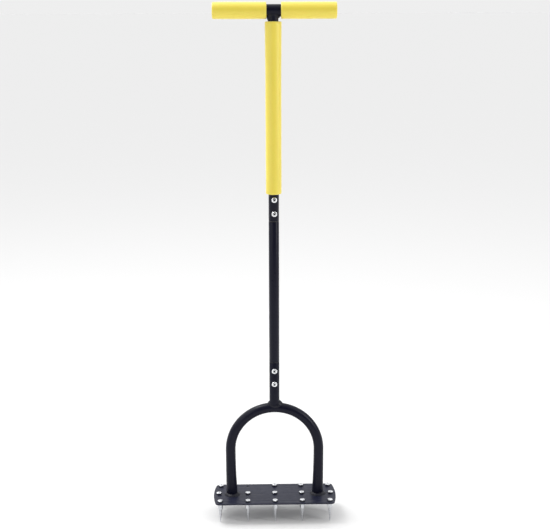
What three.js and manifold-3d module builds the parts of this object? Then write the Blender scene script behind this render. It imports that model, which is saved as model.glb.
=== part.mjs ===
// Lawn aerator fork: a T-handle with foam grips on a bolted tube pole, above a U-shaped yoke
// that is welded to a foot plate full of spikes.
// Millimetres. +X is the user's right, -Y the front, +Z up.
// The origin is the middle of the footprint, at the level of the spike tips.

import * as THREE from 'three';
import { mergeVertices } from 'three/addons/utils/BufferGeometryUtils.js';
import Module from 'manifold-3d';

// Clearance left between pieces that touch on the real tool
const GAP = 0.3;

// Vertices nearer to each other than this are one vertex
const MERGE_TOLERANCE = 1e-4;

// How far a cutting solid runs past the faces it cuts
const OVERCUT = 1;

// Tubes: the crossbar is a size larger than the pole and the yoke
const TUBE_RADIUS = 11;
const TUBE_WALL = 1.5;
const TUBE_BORE = TUBE_RADIUS - TUBE_WALL;
const CROSSBAR_RADIUS = 12.5;
const TUBE_END_BEVEL = 0.6;
const TUBE_SIDES = 20;

// Heights
const SPIKE_REACH = 45;
const PLATE_THICKNESS = 3;
const PLATE_TOP = SPIKE_REACH + PLATE_THICKNESS;
const CROSSBAR_AXIS = PLATE_TOP + 1061;
const UPPER_SEAM = PLATE_TOP + 626.2;
const LOWER_SEAM = PLATE_TOP + 313.4;

// Foam grips
const STEM_FOAM_RADIUS = 16.6;
const CROSSBAR_FOAM_RADIUS = 17.2;
const STEM_FOAM_BOTTOM = PLATE_TOP + 684.6;
const STEM_FOAM_TOP = PLATE_TOP + 1039.2;
const FOAM_EDGE_ROUND = 2;
const FOAM_ROUND_STEPS = 2;
const CROSSBAR_LEFT_END = -124;
const CROSSBAR_RIGHT_END = 129.5;
const BARE_LEFT = -13.8;
const BARE_RIGHT = 16;

// End plugs of the crossbar
const PLUG_RECESS = 0.3;
const PLUG_FLANGE = 1.6;
const PLUG_SPIGOT_LENGTH = 12;
const PLUG_CHAMFER = 1;

// Pole joints: a necked tube end held by two screws in a plain one
const NECK_RADIUS = TUBE_BORE - GAP;
const NECK_BORE = NECK_RADIUS - TUBE_WALL;
const NECK_LENGTH = 59;
const UPPER_SEAM_TO_SCREW = 16.8;
const LOWER_SEAM_TO_SCREW = 19.1;
const SCREW_SPACING = 30;
const HANDLE_SCREW_TURN = THREE.MathUtils.degToRad(4.5);

// M6 fasteners
const THREAD_RADIUS = 3;
const SCREW_HOLE_RADIUS = THREAD_RADIUS + GAP;
const SCREW_HOLE_SIDES = 10;
const SCREW_HEAD_RADIUS = 5.9;
const SCREW_HEAD_HEIGHT = 3.6;
const SCREW_HEAD_RIM = 1.6;
const SCREW_SHOULDER_RADIUS = 4.9;
const SCREW_SHOULDER_HEIGHT = 2.8;
const SCREW_FACE_RADIUS = 3.1;
const SCREW_SIDES = 16;
const SCREW_LENGTH = 29;
const RECESS_SPAN = 6.4;
const RECESS_WIDTH = 1.5;
const RECESS_DEPTH = 2.2;
const HEX_FLATS = 10;
const HEX_CORNER_RADIUS = HEX_FLATS / Math.sqrt(3);
const HEX_FACE_RADIUS = 4.9;
const HEX_CHAMFER = 0.45;
const CHAMFER_SIDES = 12;
const HEX_TURN_STEP = 0.63;
const POLE_NUT_HEIGHT = 5;

// Yoke
const YOKE_RADIUS = 98;
const YOKE_SPRING = PLATE_TOP + 108.6;
const YOKE_FOOT = PLATE_TOP + GAP;
const YOKE_TOP_AXIS = YOKE_SPRING + YOKE_RADIUS;
const LEG_STATIONS = 3;
const ARCH_STATIONS = 20;
const YOKE_SECTION_SIDES = 16;
const LEG_FLARE = 0.15;
const LEG_LEAN = 2;
const STEM_FOOT_CUT = 4.5;

// Foot plate
const PLATE_HALF_LENGTH = 137.1;
const PLATE_HALF_DEPTH = 51;
const END_BOW_RADIUS = 207;
const CORNER_RADIUS = 10;
const PLATE_CURVE_STEPS = 5;

// Spikes: three rows of five holes, one hole left empty
const ROW_SPACING = 39.5;
const ROW_NAMES = ['front', 'middle', 'back'];
const INNER_COLUMN = 60.5;
const END_COLUMN = 125.6;
const COLUMN_SIDES = [-1, -0.5, 0, 0.5, 1];
const EMPTY_HOLE = 'back_2';
const COLLAR_HEIGHT = 12;
const CONE_RADIUS = 4.5;
const TIP_RADIUS = 0.8;
const TIP_FACE_RADIUS = 0.5;
const TIP_LENGTH = 0.6;
const SPIKE_NUT_HEIGHT = 4.2;
const STUD_ABOVE_NUT = 0.6;

// Weld beads, which are fuller on the right-hand side
const HANDLE_WELD_RADIUS = 2.4;
const YOKE_WELD_RADIUS = 4;
const FOOT_WELD_RADIUS = 4.2;
const WELD_SWELL = 0.4;
const YOKE_WELD_SWELL = 0.8;
const WELD_SECTION_SIDES = 8;
const WELD_RING_SIDES = 28;
const SADDLE_FILL = 0.75;

const wasm = await Module();
wasm.setup();

// ---- Solids ----

function toManifold(geometry) {
  const bare = geometry.clone();
  bare.deleteAttribute('normal');
  bare.deleteAttribute('uv');
  const merged = mergeVertices(bare, MERGE_TOLERANCE);
  const mesh = new wasm.Mesh({
    numProp: 3,
    vertProperties: new Float32Array(merged.attributes.position.array),
    triVerts: new Uint32Array(merged.index.array),
  });
  return new wasm.Manifold(mesh);
}

function toGeometry(manifold) {
  const mesh = manifold.getMesh();
  const geometry = new THREE.BufferGeometry();
  geometry.setAttribute('position', new THREE.BufferAttribute(mesh.vertProperties, 3));
  geometry.setIndex(new THREE.BufferAttribute(mesh.triVerts, 1));
  geometry.computeVertexNormals();
  return geometry;
}

function cut(geometry, ...cutters) {
  let body = toManifold(geometry);
  for (const cutter of cutters) {
    body = body.subtract(toManifold(cutter));
  }
  return toGeometry(body);
}

function join(geometry, other) {
  return toGeometry(toManifold(geometry).add(toManifold(other)));
}

function common(geometry, other) {
  return toGeometry(toManifold(geometry).intersect(toManifold(other)));
}

// Turns a profile of [radius, height] pairs about the Z axis
function turned(profile, sides = TUBE_SIDES) {
  const points = profile.map(([radius, height]) => new THREE.Vector2(radius, height));
  const geometry = new THREE.LatheGeometry(points, sides);
  geometry.rotateX(Math.PI / 2);
  return geometry;
}

function rod(radius, bottom, top, sides = TUBE_SIDES) {
  return turned([[0, bottom], [radius, bottom], [radius, top], [0, top]], sides);
}

function plainTube(radius, bottom, top) {
  const bore = radius - TUBE_WALL;
  const bevelled = radius - TUBE_END_BEVEL;
  return turned([
    [bore, bottom],
    [bevelled, bottom],
    [radius, bottom + TUBE_END_BEVEL],
    [radius, top - TUBE_END_BEVEL],
    [bevelled, top],
    [bore, top],
    [bore, bottom],
  ]);
}

// A rod along X through the crossbar's axis, to cut the tubes and beads that meet the crossbar
function crossbarRod() {
  const geometry = rod(CROSSBAR_RADIUS + GAP, CROSSBAR_LEFT_END, CROSSBAR_RIGHT_END);
  geometry.rotateY(Math.PI / 2);
  geometry.translate(0, 0, CROSSBAR_AXIS);
  return geometry;
}

// A rod from front to back through the pole, turned about the pole by an angle
function screwHole(height, turn) {
  const reach = TUBE_RADIUS + OVERCUT;
  const geometry = rod(SCREW_HOLE_RADIUS, -reach, reach, SCREW_HOLE_SIDES);
  geometry.rotateX(Math.PI / 2);
  geometry.rotateZ(turn);
  geometry.translate(0, 0, height);
  return geometry;
}

// ---- Pole joints ----

const HANDLE_JOINT = {
  name: 'handle',
  turn: HANDLE_SCREW_TURN,
  heights: [UPPER_SEAM + UPPER_SEAM_TO_SCREW, UPPER_SEAM + UPPER_SEAM_TO_SCREW + SCREW_SPACING],
};
const YOKE_JOINT = {
  name: 'yoke',
  turn: 0,
  heights: [LOWER_SEAM - LOWER_SEAM_TO_SCREW - SCREW_SPACING, LOWER_SEAM - LOWER_SEAM_TO_SCREW],
};

function jointHoles(joint) {
  return joint.heights.map((height) => screwHole(height, joint.turn));
}

// ---- Handle ----

function crossbarTube() {
  const inset = PLUG_RECESS + PLUG_FLANGE + GAP;
  const geometry = plainTube(CROSSBAR_RADIUS, CROSSBAR_LEFT_END + inset, CROSSBAR_RIGHT_END - inset);
  geometry.rotateY(Math.PI / 2);
  geometry.translate(0, 0, CROSSBAR_AXIS);
  return geometry;
}

function handleTube() {
  const blank = plainTube(TUBE_RADIUS, UPPER_SEAM + GAP, CROSSBAR_AXIS - OVERCUT);
  return cut(blank, crossbarRod(), ...jointHoles(HANDLE_JOINT));
}

// Foam sleeve with rounded ends on a tube along Z, from bottom to top
function foamSleeve(radius, tubeRadius, bottom, top) {
  const bore = tubeRadius + GAP;
  const profile = [[bore, bottom]];
  for (let step = 0; step <= FOAM_ROUND_STEPS; step += 1) {
    const angle = (step / FOAM_ROUND_STEPS) * (Math.PI / 2);
    const inward = FOAM_EDGE_ROUND * (1 - Math.sin(angle));
    const upward = FOAM_EDGE_ROUND * (1 - Math.cos(angle));
    profile.push([radius - inward, bottom + upward]);
  }
  for (let step = FOAM_ROUND_STEPS; step >= 0; step -= 1) {
    const angle = (step / FOAM_ROUND_STEPS) * (Math.PI / 2);
    const inward = FOAM_EDGE_ROUND * (1 - Math.sin(angle));
    const downward = FOAM_EDGE_ROUND * (1 - Math.cos(angle));
    profile.push([radius - inward, top - downward]);
  }
  profile.push([bore, top], [bore, bottom]);
  return turned(profile);
}

function crossbarGrip(left, right) {
  const geometry = foamSleeve(CROSSBAR_FOAM_RADIUS, CROSSBAR_RADIUS, left, right);
  geometry.rotateY(Math.PI / 2);
  geometry.translate(0, 0, CROSSBAR_AXIS);
  return geometry;
}

// Plug with its flange outwards along Z, the flange's outer face at the origin
function endPlug() {
  const spigot = CROSSBAR_RADIUS - TUBE_WALL - GAP;
  const inner = -PLUG_FLANGE - PLUG_SPIGOT_LENGTH;
  return turned([
    [0, inner],
    [spigot - PLUG_CHAMFER, inner],
    [spigot, inner + PLUG_CHAMFER],
    [spigot, -PLUG_FLANGE],
    [CROSSBAR_RADIUS, -PLUG_FLANGE],
    [CROSSBAR_RADIUS, -PLUG_CHAMFER],
    [CROSSBAR_RADIUS - PLUG_CHAMFER, 0],
    [0, 0],
  ]);
}

function placePlug(mesh, end) {
  const side = Math.sign(end);
  mesh.rotation.y = side * (Math.PI / 2);
  mesh.position.set(end - side * PLUG_RECESS, 0, CROSSBAR_AXIS);
  return mesh;
}

// ---- Pole ----

function middleTube() {
  const bottom = LOWER_SEAM - NECK_LENGTH;
  const top = UPPER_SEAM + NECK_LENGTH;
  const shoulder = TUBE_RADIUS - TUBE_END_BEVEL;
  const blank = turned([
    [NECK_BORE, bottom],
    [NECK_RADIUS, bottom],
    [NECK_RADIUS, LOWER_SEAM],
    [shoulder, LOWER_SEAM],
    [TUBE_RADIUS, LOWER_SEAM + TUBE_END_BEVEL],
    [TUBE_RADIUS, UPPER_SEAM - TUBE_END_BEVEL],
    [shoulder, UPPER_SEAM],
    [NECK_RADIUS, UPPER_SEAM],
    [NECK_RADIUS, top],
    [NECK_BORE, top],
    [NECK_BORE, UPPER_SEAM - TUBE_WALL],
    [TUBE_BORE, UPPER_SEAM - 2 * TUBE_WALL],
    [TUBE_BORE, LOWER_SEAM + 2 * TUBE_WALL],
    [NECK_BORE, LOWER_SEAM + TUBE_WALL],
    [NECK_BORE, bottom],
  ]);
  return cut(blank, ...jointHoles(HANDLE_JOINT), ...jointHoles(YOKE_JOINT));
}

// The stem's foot is cut off short at the front and back, inside the weld bead
function yokeStem() {
  const blank = plainTube(TUBE_RADIUS, YOKE_TOP_AXIS + STEM_FOOT_CUT, LOWER_SEAM - GAP);
  return cut(blank, yokeRod(TUBE_RADIUS + GAP), ...jointHoles(YOKE_JOINT));
}

// ---- Yoke ----

// Up the left leg, round the arch and down the right leg, with few stations on the straight legs
class YokePath extends THREE.Curve {
  getPoint(t, target = new THREE.Vector3()) {
    const station = t * (2 * LEG_STATIONS + ARCH_STATIONS);
    const fromRight = 2 * LEG_STATIONS + ARCH_STATIONS - station;
    const legHeight = YOKE_SPRING - YOKE_FOOT;
    if (station < LEG_STATIONS) {
      return target.set(-YOKE_RADIUS, 0, YOKE_FOOT + (station / LEG_STATIONS) * legHeight);
    }
    if (fromRight < LEG_STATIONS) {
      return target.set(YOKE_RADIUS, 0, YOKE_FOOT + (fromRight / LEG_STATIONS) * legHeight);
    }
    const angle = Math.PI * (1 - (station - LEG_STATIONS) / ARCH_STATIONS);
    return target.set(YOKE_RADIUS * Math.cos(angle), 0, YOKE_SPRING + YOKE_RADIUS * Math.sin(angle));
  }

  getUtoTmapping(u) {
    return u;
  }
}

// Below the spring each leg leans inwards and widens sideways towards the plate
function flareLegs(geometry) {
  const position = geometry.attributes.position;
  for (let i = 0; i < position.count; i += 1) {
    const drop = Math.max(0, (YOKE_SPRING - position.getZ(i)) / (YOKE_SPRING - YOKE_FOOT));
    const side = Math.sign(position.getX(i));
    const fromAxis = position.getX(i) - side * YOKE_RADIUS;
    const axis = side * (YOKE_RADIUS - LEG_LEAN * drop * drop);
    if (drop > 0) {
      position.setX(i, axis + fromAxis * (1 + LEG_FLARE * drop * drop));
    }
  }
  return geometry;
}

function alongYoke(section) {
  const geometry = new THREE.ExtrudeGeometry(section, {
    steps: 2 * LEG_STATIONS + ARCH_STATIONS,
    curveSegments: YOKE_SECTION_SIDES / 2,
    extrudePath: new YokePath(),
  });
  return flareLegs(geometry);
}

function yokeRod(radius) {
  return alongYoke(new THREE.Shape().absarc(0, 0, radius, 0, 2 * Math.PI));
}

function yokeTube() {
  const section = new THREE.Shape().absarc(0, 0, TUBE_RADIUS, 0, 2 * Math.PI);
  section.holes.push(new THREE.Path().absarc(0, 0, TUBE_BORE, 0, 2 * Math.PI));
  return alongYoke(section);
}

// ---- Welds ----

// A ring of weld metal about the Z axis. crest gives its height at each angle round the ring.
function weldBead(ringRadius, beadRadius, swellRight, crest) {
  const geometry = new THREE.TorusGeometry(ringRadius, beadRadius, WELD_SECTION_SIDES, WELD_RING_SIDES);
  const position = geometry.attributes.position;
  for (let i = 0; i < position.count; i += 1) {
    const x = position.getX(i);
    const y = position.getY(i);
    const angle = Math.atan2(y, x);
    const swell = 1 + swellRight * Math.max(0, Math.cos(angle));
    const outward = (Math.hypot(x, y) - ringRadius) * swell;
    const reach = ringRadius + outward;
    const height = crest(angle) + position.getZ(i) * swell;
    position.setXYZ(i, reach * Math.cos(angle), reach * Math.sin(angle), height);
  }
  return geometry;
}

// Distance from the axis of a tube along X to the bead round a pole that stands on it. The weld
// metal fills the saddle a little, so the bead keeps clear of the axis at the front and the back.
function saddleHeight(barRadius, angle) {
  const sideways = TUBE_RADIUS * Math.sin(angle);
  return Math.sqrt(barRadius ** 2 - SADDLE_FILL * sideways ** 2);
}

function poleRod() {
  return rod(TUBE_RADIUS + GAP, YOKE_SPRING, CROSSBAR_AXIS);
}

function handleWeld() {
  const crest = (angle) => CROSSBAR_AXIS - saddleHeight(CROSSBAR_RADIUS, angle);
  const bead = weldBead(TUBE_RADIUS, HANDLE_WELD_RADIUS, WELD_SWELL, crest);
  return cut(bead, crossbarRod(), poleRod());
}

function yokeWeld() {
  const crest = (angle) => YOKE_TOP_AXIS + saddleHeight(TUBE_RADIUS, angle);
  const bead = weldBead(TUBE_RADIUS, YOKE_WELD_RADIUS, YOKE_WELD_SWELL, crest);
  return cut(bead, yokeRod(TUBE_RADIUS + GAP), poleRod());
}

function footWeld(side) {
  const bead = weldBead(TUBE_RADIUS, FOOT_WELD_RADIUS, WELD_SWELL, () => PLATE_TOP);
  bead.scale(1 + LEG_FLARE, 1, 1);
  bead.translate(side * (YOKE_RADIUS - LEG_LEAN), 0, 0);
  const below = new THREE.BoxGeometry(2 * PLATE_HALF_LENGTH, 2 * PLATE_HALF_DEPTH, PLATE_TOP + GAP);
  below.translate(0, 0, (PLATE_TOP + GAP) / 2);
  const leg = yokeRod(TUBE_RADIUS + GAP);
  return cut(bead, below, leg);
}

// ---- Foot plate ----

// Places of all the holes, named by row and column
function holePlaces() {
  const places = [];
  ROW_NAMES.forEach((row, rowIndex) => {
    const y = (rowIndex - 1) * ROW_SPACING;
    const bow = END_BOW_RADIUS - Math.sqrt(END_BOW_RADIUS ** 2 - y ** 2);
    COLUMN_SIDES.forEach((side, columnIndex) => {
      const atEnd = Math.abs(side) === 1;
      const x = Math.sign(side) * (atEnd ? END_COLUMN - bow : INNER_COLUMN);
      places.push({ name: `${row}_${columnIndex + 1}`, x: side === 0 ? 0 : x, y });
    });
  });
  return places;
}

function plateOutline() {
  const bowCentre = PLATE_HALF_LENGTH - END_BOW_RADIUS;
  const cornerY = PLATE_HALF_DEPTH - CORNER_RADIUS;
  const angle = Math.asin(cornerY / (END_BOW_RADIUS - CORNER_RADIUS));
  const cornerX = bowCentre + (END_BOW_RADIUS - CORNER_RADIUS) * Math.cos(angle);
  const outline = new THREE.Shape();
  outline.absarc(bowCentre, 0, END_BOW_RADIUS, -angle, angle);
  outline.absarc(cornerX, cornerY, CORNER_RADIUS, angle, Math.PI / 2);
  outline.absarc(-cornerX, cornerY, CORNER_RADIUS, Math.PI / 2, Math.PI - angle);
  outline.absarc(-bowCentre, 0, END_BOW_RADIUS, Math.PI - angle, Math.PI + angle);
  outline.absarc(-cornerX, -cornerY, CORNER_RADIUS, Math.PI + angle, 1.5 * Math.PI);
  outline.absarc(cornerX, -cornerY, CORNER_RADIUS, 1.5 * Math.PI, 2 * Math.PI - angle);
  return outline;
}

function footPlate() {
  const outline = plateOutline();
  for (const { x, y } of holePlaces()) {
    outline.holes.push(new THREE.Path().absarc(x, y, SCREW_HOLE_RADIUS, 0, 2 * Math.PI));
  }
  const geometry = new THREE.ExtrudeGeometry(outline, {
    depth: PLATE_THICKNESS,
    bevelEnabled: false,
    curveSegments: PLATE_CURVE_STEPS,
  });
  geometry.translate(0, 0, SPIKE_REACH);
  return geometry;
}

// ---- Fasteners ----

function hexPrism(bottom, top) {
  const prism = new THREE.CylinderGeometry(HEX_CORNER_RADIUS, HEX_CORNER_RADIUS, top - bottom, 6);
  prism.rotateX(Math.PI / 2);
  prism.translate(0, 0, (bottom + top) / 2);
  return prism;
}

// Hex nut standing on the origin, its corners chamfered on the outer face
function hexNut(height) {
  const outer = HEX_CORNER_RADIUS + OVERCUT;
  const slope = HEX_CHAMFER / (HEX_CORNER_RADIUS - HEX_FACE_RADIUS);
  const chamfer = turned([
    [0, -OVERCUT],
    [outer, -OVERCUT],
    [outer, height - slope * (outer - HEX_FACE_RADIUS)],
    [HEX_FACE_RADIUS, height],
    [0, height],
  ], CHAMFER_SIDES);
  const blank = common(hexPrism(0, height), chamfer);
  return cut(blank, rod(SCREW_HOLE_RADIUS, -OVERCUT, height + OVERCUT, SCREW_HOLE_SIDES));
}

// Pan-head screw along Z, the underside of its head at the origin and its thread downwards
function panScrew() {
  const profile = [
    [0, -SCREW_LENGTH],
    [THREAD_RADIUS, -SCREW_LENGTH],
    [THREAD_RADIUS, 0],
    [SCREW_HEAD_RADIUS, 0],
    [SCREW_HEAD_RADIUS, SCREW_HEAD_RIM],
    [SCREW_SHOULDER_RADIUS, SCREW_SHOULDER_HEIGHT],
    [SCREW_FACE_RADIUS, SCREW_HEAD_HEIGHT],
    [0, SCREW_HEAD_HEIGHT],
  ];
  const along = new THREE.BoxGeometry(RECESS_SPAN, RECESS_WIDTH, 2 * RECESS_DEPTH);
  along.translate(0, 0, SCREW_HEAD_HEIGHT);
  const across = along.clone();
  across.rotateZ(Math.PI / 2);
  return cut(turned(profile, SCREW_SIDES), along, across);
}

// Spike along Z with the plate's underside at the origin: threaded stud, hex collar and cone
function spike() {
  const studTop = PLATE_THICKNESS + GAP + SPIKE_NUT_HEIGHT + STUD_ABOVE_NUT;
  const collarFoot = -GAP - COLLAR_HEIGHT;
  const shaft = turned([
    [0, -SPIKE_REACH],
    [TIP_FACE_RADIUS, -SPIKE_REACH],
    [TIP_RADIUS, -SPIKE_REACH + TIP_LENGTH],
    [CONE_RADIUS, collarFoot],
    [THREAD_RADIUS, -GAP - COLLAR_HEIGHT / 2],
    [THREAD_RADIUS, studTop],
    [0, studTop],
  ], SCREW_HOLE_SIDES);
  return join(shaft, hexPrism(collarFoot, -GAP));
}

// ---- Materials ----

function blackPaint() {
  return new THREE.MeshStandardMaterial({ color: 0x25252c, roughness: 0.35, metalness: 0.1 });
}

function weldPaint() {
  return new THREE.MeshStandardMaterial({ color: 0x2b2b32, roughness: 0.45, metalness: 0.1 });
}

function platePaint() {
  return new THREE.MeshStandardMaterial({ color: 0x4c4d5a, roughness: 0.45, metalness: 0.1 });
}

function yellowFoam() {
  return new THREE.MeshStandardMaterial({ color: 0xe6cb4c, roughness: 0.85, metalness: 0 });
}

function blackPlastic() {
  return new THREE.MeshStandardMaterial({ color: 0x18181a, roughness: 0.55, metalness: 0 });
}

function zincPlate() {
  return new THREE.MeshStandardMaterial({ color: 0xc8cacd, roughness: 0.3, metalness: 1 });
}

// ---- Assembly ----

function piece(name, geometry, material) {
  const mesh = new THREE.Mesh(geometry, material);
  mesh.name = name;
  return mesh;
}

function handle() {
  const group = new THREE.Group();
  group.add(piece('crossbar_tube', crossbarTube(), blackPaint()));
  group.add(piece('handle_tube', handleTube(), blackPaint()));
  group.add(piece('handle_weld', handleWeld(), weldPaint()));
  group.add(piece('left_grip', crossbarGrip(CROSSBAR_LEFT_END, BARE_LEFT), yellowFoam()));
  group.add(piece('right_grip', crossbarGrip(BARE_RIGHT, CROSSBAR_RIGHT_END), yellowFoam()));
  const stemFoam = foamSleeve(STEM_FOAM_RADIUS, TUBE_RADIUS, STEM_FOAM_BOTTOM, STEM_FOAM_TOP);
  group.add(piece('stem_grip', stemFoam, yellowFoam()));
  group.add(placePlug(piece('left_plug', endPlug(), blackPlastic()), CROSSBAR_LEFT_END));
  group.add(placePlug(piece('right_plug', endPlug(), blackPlastic()), CROSSBAR_RIGHT_END));
  return group;
}

// Two screws from the front with their nuts at the back
function poleFasteners(joint) {
  const group = new THREE.Group();
  group.rotation.z = joint.turn;
  const seat = TUBE_RADIUS + GAP;
  joint.heights.forEach((height, index) => {
    const place = index === 0 ? 'lower' : 'upper';
    const screw = piece(`${joint.name}_screw_${place}`, panScrew(), zincPlate());
    screw.rotation.x = Math.PI / 2;
    screw.position.set(0, -seat, height);
    const nut = piece(`${joint.name}_nut_${place}`, hexNut(POLE_NUT_HEIGHT), zincPlate());
    nut.rotation.x = Math.PI / 2;
    nut.position.set(0, seat + POLE_NUT_HEIGHT, height);
    group.add(screw, nut);
  });
  return group;
}

function yoke() {
  const group = new THREE.Group();
  group.add(piece('yoke_stem', yokeStem(), blackPaint()));
  group.add(piece('yoke_tube', yokeTube(), blackPaint()));
  group.add(piece('yoke_weld', yokeWeld(), weldPaint()));
  group.add(piece('left_foot_weld', footWeld(-1), weldPaint()));
  group.add(piece('right_foot_weld', footWeld(1), weldPaint()));
  return group;
}

function spikes() {
  const group = new THREE.Group();
  const spikeGeometry = spike();
  const nutGeometry = hexNut(SPIKE_NUT_HEIGHT);
  holePlaces().filter(({ name }) => name !== EMPTY_HOLE).forEach(({ name, x, y }, index) => {
    const spikeMesh = piece(`spike_${name}`, spikeGeometry, zincPlate());
    spikeMesh.position.set(x, y, SPIKE_REACH);
    spikeMesh.rotation.z = index * HEX_TURN_STEP;
    const nutMesh = piece(`spike_nut_${name}`, nutGeometry, zincPlate());
    nutMesh.position.set(x, y, PLATE_TOP + GAP);
    nutMesh.rotation.z = -index * HEX_TURN_STEP;
    group.add(spikeMesh, nutMesh);
  });
  return group;
}

const aerator = new THREE.Group();
aerator.add(handle());
aerator.add(piece('middle_tube', middleTube(), blackPaint()));
aerator.add(poleFasteners(HANDLE_JOINT));
aerator.add(poleFasteners(YOKE_JOINT));
aerator.add(yoke());
aerator.add(piece('foot_plate', footPlate(), platePaint()));
aerator.add(spikes());

export default aerator;
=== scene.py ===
"""Looks of the lawn aerator fork: every CAD piece is rebuilt as a fine mesh in the same place,
with a procedural material, on a pale floor in soft studio light. Metres, +Z up, front towards -Y.
"""

import math
import random

import bmesh
import bpy
from mathutils import Matrix, Vector, noise

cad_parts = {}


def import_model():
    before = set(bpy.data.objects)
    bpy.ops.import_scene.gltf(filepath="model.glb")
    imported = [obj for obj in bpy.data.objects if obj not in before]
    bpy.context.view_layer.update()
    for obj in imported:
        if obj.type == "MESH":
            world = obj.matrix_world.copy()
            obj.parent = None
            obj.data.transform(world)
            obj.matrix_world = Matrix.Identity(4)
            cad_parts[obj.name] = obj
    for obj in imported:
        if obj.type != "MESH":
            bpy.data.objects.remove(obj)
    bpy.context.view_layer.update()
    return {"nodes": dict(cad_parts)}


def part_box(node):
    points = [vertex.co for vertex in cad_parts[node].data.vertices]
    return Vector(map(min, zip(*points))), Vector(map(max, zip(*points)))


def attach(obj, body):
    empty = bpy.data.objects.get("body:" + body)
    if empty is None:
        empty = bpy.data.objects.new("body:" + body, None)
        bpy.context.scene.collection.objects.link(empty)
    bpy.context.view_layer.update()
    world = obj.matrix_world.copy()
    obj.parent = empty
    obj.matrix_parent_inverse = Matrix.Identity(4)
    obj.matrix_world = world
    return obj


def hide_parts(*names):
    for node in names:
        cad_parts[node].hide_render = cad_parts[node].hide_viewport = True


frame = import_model()

MM = 0.001


# ---- Places and sizes, from the CAD frame ----


def low(node):
    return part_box(node)[0]


def high(node):
    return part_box(node)[1]


def size(node):
    return high(node) - low(node)


def middle(node):
    return (low(node) + high(node)) / 2


GAP = 0.3 * MM
TUBE_RADIUS = size("middle_tube").x / 2
TUBE_WALL = 1.5 * MM
TUBE_BORE = TUBE_RADIUS - TUBE_WALL
TUBE_LIP = 0.9 * MM
TUBE_LIP_MIDDLE = TUBE_LIP * 0.3
TUBE_SIDES = 96
CROSSBAR_RADIUS = size("crossbar_tube").z / 2
CROSSBAR_BORE = CROSSBAR_RADIUS - TUBE_WALL

CROSSBAR_AXIS = middle("crossbar_tube").z
UPPER_SEAM = low("handle_tube").z - GAP
LOWER_SEAM = high("yoke_stem").z + GAP
NECK_RADIUS = TUBE_BORE - GAP
NECK_BORE = NECK_RADIUS - TUBE_WALL

YOKE_RADIUS = high("yoke_tube").x - TUBE_RADIUS
YOKE_SPRING = high("yoke_tube").z - YOKE_RADIUS - TUBE_RADIUS
YOKE_FOOT = low("yoke_tube").z
YOKE_CROWN = YOKE_SPRING + YOKE_RADIUS
LEG_FLARE = 0.15
LEG_LEAN = 2 * MM
YOKE_SIDES = 64
ARCH_STEPS = 96
LEG_STEPS = 24

PLATE_TOP = high("foot_plate").z
PLATE_UNDER = low("foot_plate").z
PLATE_HALF_LENGTH = size("foot_plate").x / 2
PLATE_HALF_DEPTH = size("foot_plate").y / 2
END_BOW_RADIUS = 207 * MM
END_BOW_STEPS = 20
CORNER_RADIUS = 10 * MM
CORNER_STEPS = 12
PLATE_EDGE_ROUND = 0.45 * MM
PLATE_MERGE_DISTANCE = 1e-6
PLATE_SHARP_ANGLE = math.radians(50)
LEVEL_NORMAL_Z = 0.999

SEAT_GAP = 0.02 * MM
THREAD_RADIUS = 3 * MM
THREAD_PITCH = 1 * MM
THREAD_DEPTH = 0.45 * MM
THREAD_FULLNESS = 0.8
THREAD_SIDES = 40
THREAD_ROWS_PER_TURN = 8
HOLE_RADIUS = 3.3 * MM
HOLE_STEPS = 40
HEX_FLATS = 10 * MM
HEX_FACE = 0.95 * HEX_FLATS / 2
HEX_CHAMFER = math.radians(30)
HEX_BORE_EASE = 0.375 * MM
HEX_SIDES = 72
POLE_NUT_HEIGHT = size("yoke_nut_lower").y
SCREW_HEAD_RADIUS = size("yoke_screw_upper").x / 2
SCREW_HEAD_HEIGHT = 3.6 * MM
SCREW_HEAD_SIDES = 72
SCREW_LENGTH = size("yoke_screw_upper").y - SCREW_HEAD_HEIGHT
SHANK_SINK = 0.5 * MM
RECESS_REACH = 3.3 * MM

# How far each joint's screws are turned round the pole, and the spin of its lower and upper one
POLE_JOINTS = (
    ("handle", math.radians(4.5), (0.62, 0.95)),
    ("yoke", 0.0, (0.7, 0.88)),
)

SPIKES = sorted(n for n in frame["nodes"] if n.startswith("spike_") and "nut" not in n)
EMPTY_HOLE = (middle("spike_front_2").x, middle("spike_back_3").y)
COLLAR_HEIGHT = 12.3 * MM
STUD_SINK = 1 * MM
SPIKE_SIDES = 64
SPIKE_SPIN = 0.63
SPIKE_SPIN_START = 0.2
# A spike's profile in mm: radius and height over its tip, then radius and height over its collar's
# foot
SPIKE_TIP = ((0.45, 0), (0.7, 0.25), (0.85, 0.8))
SPIKE_BASE = ((4.2, -0.5), (4.4, 0), (4.4, 1))


# ---- Mesh building ----


def circle(radius, height, count=TUBE_SIDES):
    """A level ring of points about Z. height is a number, or a function of a point's x and y."""
    ring = []
    for i in range(count):
        angle = 2 * math.pi * i / count
        x, y = radius * math.cos(angle), radius * math.sin(angle)
        ring.append(Vector((x, y, height(x, y) if callable(height) else height)))
    return ring


def skin(rings, loop=False, capped=False):
    """Points and faces of a surface through rings of equal count."""
    count = len(rings[0])
    points = [p for ring in rings for p in ring]
    faces = []
    for i in range(len(rings) if loop else len(rings) - 1):
        a, b = i * count, (i + 1) % len(rings) * count
        for j in range(count):
            k = (j + 1) % count
            faces.append((a + j, a + k, b + k, b + j))
    if capped:
        faces.append(tuple(reversed(range(count))))
        faces.append(tuple(range(len(points) - count, len(points))))
    return points, faces


def turned(profile, count=TUBE_SIDES, loop=False):
    """Turns a profile of (radius, height) pairs about Z. A loop is closed, the rest is capped."""
    rings = [circle(radius, height, count) for radius, height in profile]
    return skin(rings, loop=loop, capped=not loop)


def moved(shape, matrix):
    points, faces = shape
    return [matrix @ Vector(p) for p in points], faces


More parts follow.
